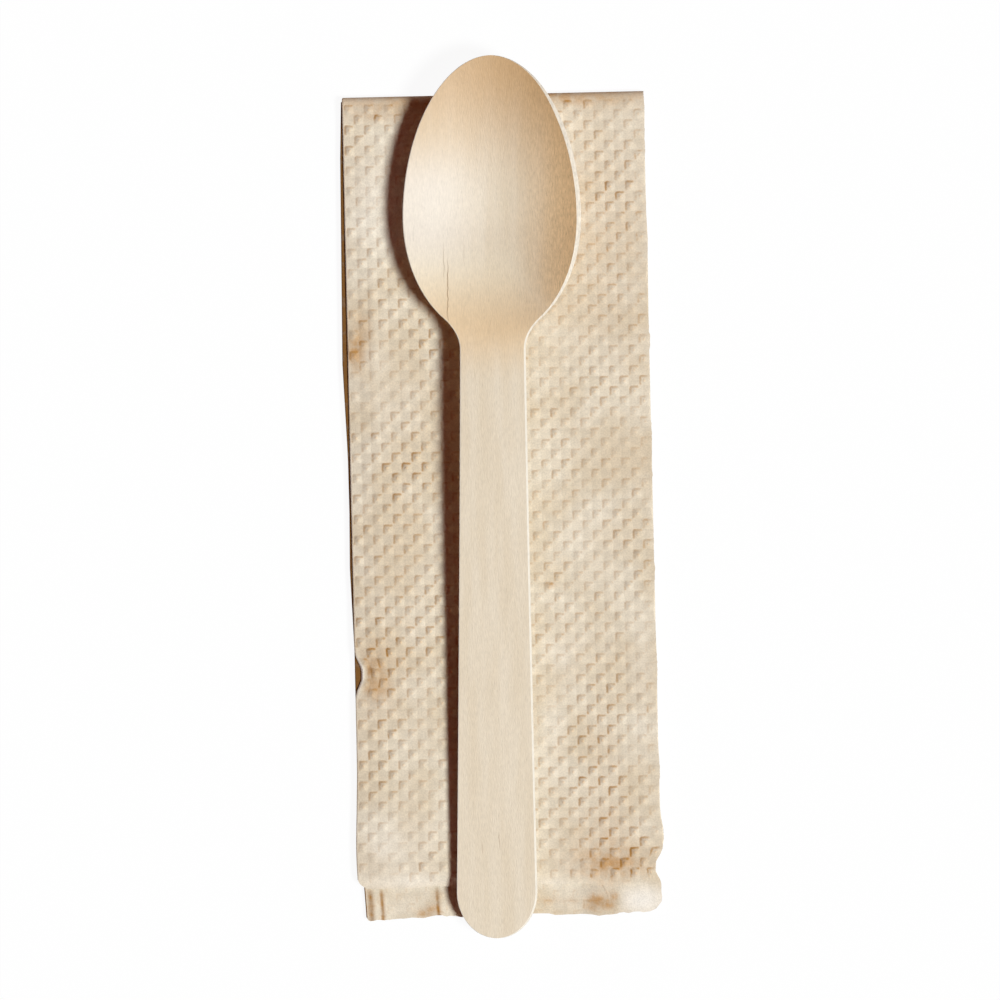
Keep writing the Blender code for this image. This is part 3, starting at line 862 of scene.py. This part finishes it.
def tissueMaterial(look):
    material, tree = newMaterial("kraftTissueEmbossed")
    place = addNode(tree, "TexCoord").outputs["Object"]
    sheet = addNode(tree, "UVMap", {"uv_map": "sheet"}).outputs[0]
    paperTint = addNode(tree, "Attribute", {"attribute_name": "paperTint"}).outputs["Fac"]
    pressed = addNode(tree, "Attribute", {"attribute_name": "pressed"}).outputs["Fac"]

    patches = addNode(tree, "TexNoise", {}, {"Vector": place, "Scale": 1 / look["patch"], "Detail": 3.0})
    clouds = addNode(tree, "TexNoise", {}, {"Vector": place, "Scale": 1 / look["cloud"], "Detail": 3.0})
    fibres = addNode(tree, "TexNoise", {}, {"Vector": place, "Scale": 1 / look["fibre"], "Detail": 4.0})

    # where this point is within its own square, 0 and 1 at the borders and 0.5 in the middle
    ruffled = addNode(tree, "TexNoise", {}, {
        "Vector": place, "Scale": 1 / look["ruffleScale"], "Detail": 2.0})
    ruffled = addNode(tree, "VectorMath", minus, {0: ruffled.outputs["Color"], 1: (0.5, 0.5, 0.5)})
    ruffled = addNode(tree, "VectorMath", {"operation": "SCALE"}, {0: ruffled, "Scale": look["ruffle"]})
    warped = addNode(tree, "VectorMath", plus, {0: sheet, 1: ruffled})
    split = addNode(tree, "SeparateXYZ", {}, {"Vector": warped})
    across = addNode(tree, "Math", {"operation": "FRACT"}, {0: split.outputs["X"]})
    down = addNode(tree, "Math", {"operation": "FRACT"}, {0: split.outputs["Y"]})
    column = addNode(tree, "Math", {"operation": "FLOOR"}, {0: split.outputs["X"]})
    line = addNode(tree, "Math", {"operation": "FLOOR"}, {0: split.outputs["Y"]})
    flat = addNode(tree, "Math", plus, {0: column, 1: line})
    flat = addNode(tree, "Math", {"operation": "MODULO"}, {0: flat, 1: 2.0})
    raised = addNode(tree, "Math", minus, {0: 1.0, 1: flat})

    # painted shade: a soft brown angle along the top and the left of a raised square, the sides that face
    # away from the lamp
    bankShade = addNode(tree, "Math", smaller, {0: across, 1: down})
    bankShade = addNode(tree, "Math", minus, {0: bankShade, 1: look["bankShadeAt"]})
    bankShade = addNode(tree, "Math", positive, {0: bankShade})
    bankShade = addNode(tree, "MapRange", smoothly, {
        0: bankShade, 1: 0.0, 2: look["bankShadeReach"], 3: 1.0, 4: 0.0})
    armEnd = addNode(tree, "Math", larger, {0: across, 1: down})
    armEnd = addNode(tree, "MapRange", smoothly, {0: armEnd, 1: 0.80, 2: 1.08, 3: 1.0, 4: 0.0})
    corner = addNode(tree, "Math", plus, {0: across, 1: down})
    corner = addNode(tree, "MapRange", smoothly, {0: corner, 1: 0.05, 2: 0.34})
    patchy = addNode(tree, "MapRange", smoothly, {0: clouds, 1: 0.34, 2: 0.62, 3: 0.2, 4: 1.0})
    for share in (armEnd, corner, patchy, raised, pressed):
        bankShade = addNode(tree, "Math", times, {0: bankShade, 1: share})

    # the pin mark in its middle
    within = addNode(tree, "CombineXYZ", {}, {0: across, 1: down})
    offMiddle = addNode(tree, "VectorMath", {"operation": "DISTANCE"}, {0: within, 1: look["pinAt"]})
    pin = addNode(tree, "MapRange", smoothly, {0: offMiddle, 1: 0.0, 2: look["pinShare"], 3: 1.0, 4: 0.0})
    for share in (raised, pressed):
        pin = addNode(tree, "Math", times, {0: pin, 1: share})

    bands = addNode(tree, "MapRange", smoothly, {0: patches, 1: 0.36, 2: 0.64})
    base = addNode(tree, "Mix", colours, {0: bands, 6: toLinear(look["tan"]), 7: toLinear(look["pale"])})
    # browner for stains and for painted shade and shadow: the lower folds, the pleats, the top fold, by the
    # flap
    brownShare = addNode(tree, "Math", larger, {0: paperTint, 1: 0.0})
    blotchy = addNode(tree, "MapRange", smoothly, {0: clouds, 1: 0.3, 2: 0.65, 3: 0.38, 4: 0.85})
    brownShare = addNode(tree, "Math", times, {0: brownShare, 1: blotchy})
    # darker still on the lower folds at the left, painted shade
    foldShade = addNode(tree, "Math", minus, {0: paperTint, 1: look["foldShadeFrom"]})
    foldShade = addNode(tree, "Math", larger, {0: foldShade, 1: 0.0})
    # paler for worn places and for the painted highlight on the notch's fold edge
    worn = addNode(tree, "Math", times, {0: paperTint, 1: -1.0})
    worn = addNode(tree, "Math", larger, {0: worn, 1: 0.0})
    # the lower plain squares are painted greyer, painted shade in the recesses
    flat = addNode(tree, "Math", times, {0: flat, 1: pressed})
    flat = addNode(tree, "Math", times, {0: flat, 1: look["flatShare"]})
    share = addNode(tree, "Math", timesPlus, {0: brownShare, 1: look["brownBankShare"], 2: look["bankShadeShare"]})
    bankShade = addNode(tree, "Math", times, {0: bankShade, 1: share})
    warmed = addNode(tree, "Math", times, {0: pin, 1: look["pinWarmth"]})
    layers = ((flat, "flat"), (warmed, "pin"), (brownShare, "brown"), (foldShade, "foldShade"), (worn, "worn"))
    for share, tint in (*layers, (bankShade, "bankShade")):
        base = addNode(tree, "Mix", colours, {0: share, 6: base, 7: toLinear(look[tint])})
    tone = addNode(tree, "MapRange", smoothly, {0: fibres, 1: 0.3, 2: 0.7, 3: 0.93, 4: 1.07})
    cloudTone = addNode(tree, "MapRange", smoothly, {0: clouds, 1: 0.3, 2: 0.7, 3: 0.95, 4: 1.05})
    tone = addNode(tree, "Math", times, {0: tone, 1: cloudTone})
    colour = addNode(tree, "VectorMath", {"operation": "SCALE"}, {0: base, "Scale": tone})

    height = addNode(tree, "Math", timesPlus, {0: pin, 1: look["pinHeight"], 2: fibres})
    bump = addNode(tree, "Bump", {}, {"Height": height, "Strength": 0.6, "Distance": look["relief"]})
    shader = addNode(tree, "BsdfPrincipled", {}, {
        "Base Color": colour, "Roughness": look["roughness"], "IOR": 1.45,
        "Specular IOR Level": 0.08, "Normal": bump,
    })
    addNode(tree, "OutputMaterial", {}, {"Surface": shader})
    return material


napkin = makeNapkin(napkinSizes)
napkin.data.materials.append(tissueMaterial(tissueLook))
print("napkin folded")


def layOut():
    # the same turns and places as the solids, then moved so that the spoon meets its own box
    half = spoonSizes["length"] / 2
    fold = (half - napkinSizes["pastFold"]) / math.cos(napkinSizes["turn"])  # from the origin
    turn = napkinSizes["turn"]
    napkin.rotation_euler.z = turn
    napkin.location = (-fold * math.sin(turn), fold * math.cos(turn), 0)
    turn = spoonSizes["turn"]
    spoon.rotation_euler.z = turn
    spoon.location = (-spoonSizes["toLeft"] - half * math.sin(turn), half * math.cos(turn), 0)
    bpy.context.view_layer.update()
    made = spoon.evaluated_get(bpy.context.evaluated_depsgraph_get())
    corners = [made.matrix_world @ v.co for v in made.data.vertices]
    low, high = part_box("wooden_spoon")
    shift = [0.0, 0.0, 0.0]
    for axis in (0, 1):
        values = [c[axis] for c in corners]
        shift[axis] = (low[axis] + high[axis] - min(values) - max(values)) / 2
    shift[2] = low.z - min(c.z for c in corners)
    spoon.location += Vector(shift)
    napkin.location += Vector((shift[0], shift[1], 0.0))
    bpy.context.view_layer.update()


layOut()
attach(spoon, "root")
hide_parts("wooden_spoon")
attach(napkin, "root")
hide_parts("paper_napkin")
print("laid out")


# Floor, light and background
studio = {
    "floorHalf": 1.5,
    "floorDrop": 0.02 * mm,  # below the napkin, so that the two never share a level
    "floorKept": 0.06,  # share of the floor's own shading that the camera sees, so a shadow stays
    "keyAzimuth": math.radians(-26),  # from +X towards -Y
    "keyElevation": math.radians(59),
    "keyAngle": math.radians(14),  # how wide the lamp looks, which softens the shadow's border
    "keyColour": (0.92, 0.995, 0.998),
    "fillColour": (0.08, 0.005, 0.002),
}


def seenDirectly(tree):
    # 1 for the camera and for what mirrors or lets through the background
    path = addNode(tree, "LightPath")
    seen = addNode(tree, "Math", larger, {0: path.outputs["Is Camera Ray"], 1: path.outputs["Is Glossy Ray"]})
    return addNode(tree, "Math", larger, {0: seen, 1: path.outputs["Is Transmission Ray"]})


def makeStudio(setup):
    mesh = bpy.data.meshes.new("floor")
    half = setup["floorHalf"]
    corners = [(-half, -half, 0), (half, -half, 0), (half, half, 0), (-half, half, 0)]
    mesh.from_pydata(corners, [], [(0, 1, 2, 3)])
    floor = bpy.data.objects.new("floor", mesh)
    floor.location.z = -setup["floorDrop"]
    bpy.context.scene.collection.objects.link(floor)
    material, tree = newMaterial("whitePaperFloor")
    share = addNode(tree, "Math", times, {0: seenDirectly(tree), 1: 1 - setup["floorKept"]})
    plain = addNode(tree, "BsdfDiffuse", {}, {"Color": (0.92, 0.92, 0.92, 1)})
    white = addNode(tree, "Emission", {}, {"Color": (1, 1, 1, 1), "Strength": 1.0})
    mix = addNode(tree, "MixShader", {}, {0: share, 1: plain, 2: white})
    addNode(tree, "OutputMaterial", {}, {"Surface": mix})
    mesh.materials.append(material)

    data = bpy.data.lights.new("key", "SUN")
    data.angle = setup["keyAngle"]
    data.energy = math.pi / math.sin(setup["keyElevation"])
    data.color = setup["keyColour"]
    key = bpy.data.objects.new("key", data)
    bpy.context.scene.collection.objects.link(key)
    flat = math.cos(setup["keyElevation"])
    towards = Vector((flat * math.cos(setup["keyAzimuth"]), flat * math.sin(setup["keyAzimuth"]),
                      math.sin(setup["keyElevation"])))
    key.rotation_euler = towards.to_track_quat("Z", "Y").to_euler()
    key.location = towards

    world = bpy.data.worlds.new("softFill")
    bpy.context.scene.world = world
    world.use_nodes = True
    tree = world.node_tree
    tree.nodes.clear()
    colour = addNode(tree, "Mix", colours, {
        0: seenDirectly(tree), 6: (*setup["fillColour"], 1), 7: (1, 1, 1, 1)})
    background = addNode(tree, "Background", {}, {"Color": colour, "Strength": 1.0})
    addNode(tree, "OutputWorld", {}, {"Surface": background})


makeStudio(studio)
bpy.context.scene.view_settings.view_transform = "Standard"
print("studio lit")
